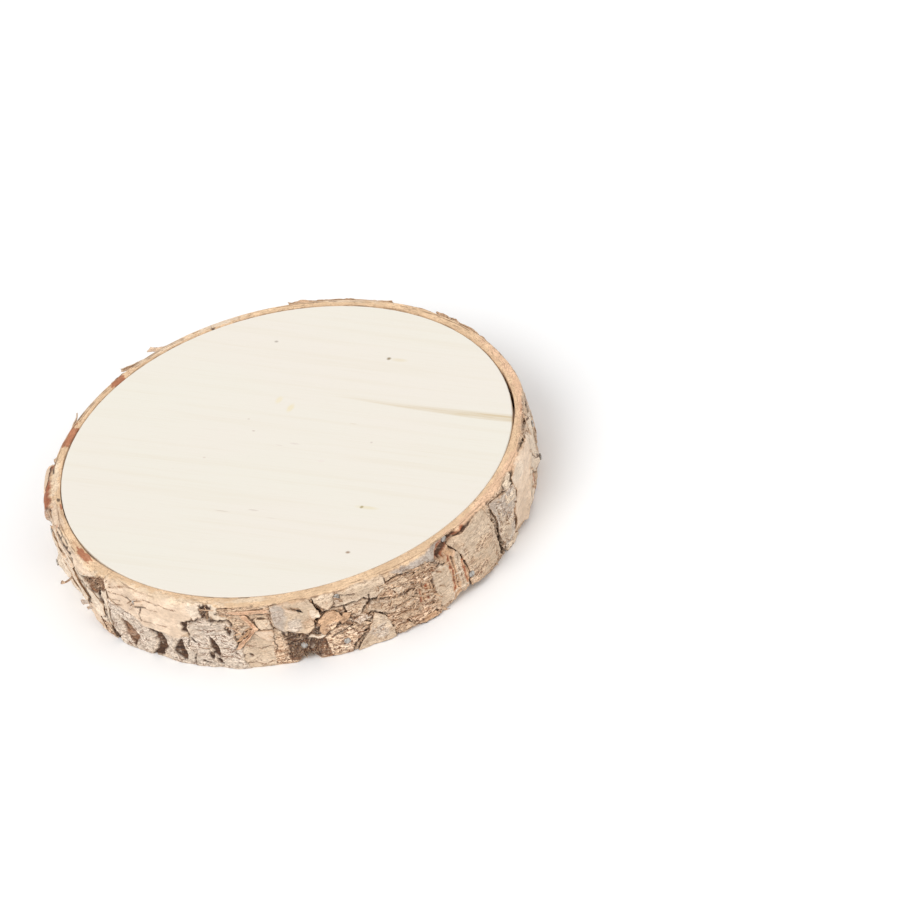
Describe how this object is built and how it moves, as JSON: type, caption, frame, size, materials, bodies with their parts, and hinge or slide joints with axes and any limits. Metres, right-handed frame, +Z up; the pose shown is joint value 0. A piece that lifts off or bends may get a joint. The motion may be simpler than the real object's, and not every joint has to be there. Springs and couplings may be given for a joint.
{
  "type": "birch wood slice",
  "caption": "Flat round slice of pale birch with a ragged rim of birch bark, nailed on in strips; a rustic stand, tray or display base.",
  "frame": {"origin": "centre of the wood disc's lower face, on the surface that the slice rests on", "axes": "+Z up through the disc, along its axis; -Y towards the front, the side that the picture shows"},
  "size_m": [0.2596, 0.257, 0.04],
  "materials": {
    "birch_wood": "sanded, bare, matt",
    "birch_bark": "papery birch bark, matt, tan where it is cut",
    "nail_steel": "plain steel wire nail, slightly dull"
  },
  "bodies": {
    "root": {"wood_disc": "birch_wood", "bark_front": "birch_bark", "bark_back_right": "birch_bark", "bark_back_left": "birch_bark", "bark_left": "birch_bark", "nail_01": "nail_steel", "nail_02": "nail_steel", "nail_03": "nail_steel", "nail_04": "nail_steel", "nail_05": "nail_steel", "nail_06": "nail_steel", "nail_07": "nail_steel", "nail_08": "nail_steel", "nail_09": "nail_steel", "nail_10": "nail_steel", "nail_11": "nail_steel", "nail_12": "nail_steel", "nail_13": "nail_steel", "nail_14": "nail_steel", "nail_15": "nail_steel", "nail_16": "nail_steel", "nail_17": "nail_steel", "nail_18": "nail_steel", "nail_19": "nail_steel", "nail_20": "nail_steel"}
  },
  "joints": []
}
